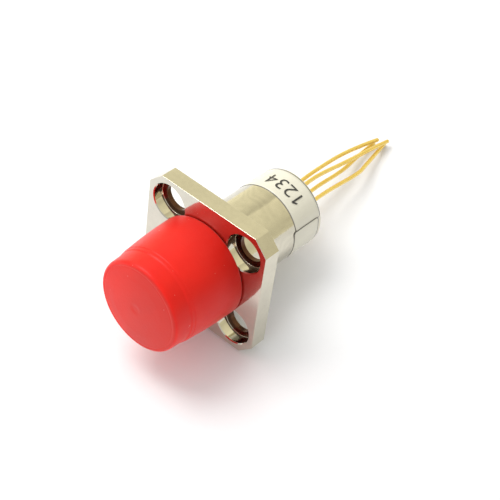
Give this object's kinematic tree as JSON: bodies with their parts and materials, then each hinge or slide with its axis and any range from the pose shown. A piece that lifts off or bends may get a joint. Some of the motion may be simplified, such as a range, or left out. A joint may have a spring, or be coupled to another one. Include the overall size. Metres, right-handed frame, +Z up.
{
  "type": "laser diode",
  "caption": "Coaxial laser diode with a square screw-on flange, threaded receptacle nose, push-on dust cap, wrapped label and bent leads.",
  "frame": {"origin": "centre of the flange's mounting face, on the optical axis", "axes": "+Y along the optical axis from the capped nose to the leads, +Z up, X across the flange"},
  "size_m": [0.014, 0.0382, 0.014],
  "materials": {
    "cap_plastic": "satin soft moulded plastic",
    "nickel": "polished warm nickel plate",
    "post_metal": "turned and plated",
    "steel": "turned",
    "can_metal": "plated",
    "gold": "gold plate",
    "zirconia": "polished",
    "lens_glass": "clear",
    "seal_glass": "fused glass",
    "submount_ceramic": "metallised",
    "chip": "cleaved semiconductor",
    "paper": "glossy adhesive paper"
  },
  "bodies": {
    "receptacle": {"housing": "nickel", "sleeve_post": "post_metal", "split_sleeve": "zirconia", "stub_holder": "steel", "fiber_stub": "zirconia", "stub_fiber": "lens_glass", "can_holder": "steel", "lens_can": "can_metal", "ball_lens": "lens_glass", "header": "gold", "submount": "submount_ceramic", "laser_chip": "chip", "photodiode_block": "submount_ceramic", "photodiode": "chip", "glass_bead_1": "seal_glass", "glass_bead_2": "seal_glass", "glass_bead_3": "seal_glass", "lead_1": "gold", "lead_2": "gold", "lead_3": "gold", "lead_4": "gold", "label": "paper"},
    "cap": {"dust_cap": "cap_plastic"}
  },
  "joints": [
    {"name": "cap_pull", "type": "slide", "parent": "receptacle", "child": "cap", "axis": [0, -1, 0], "range_m": [0, 0.02]}
  ]
}
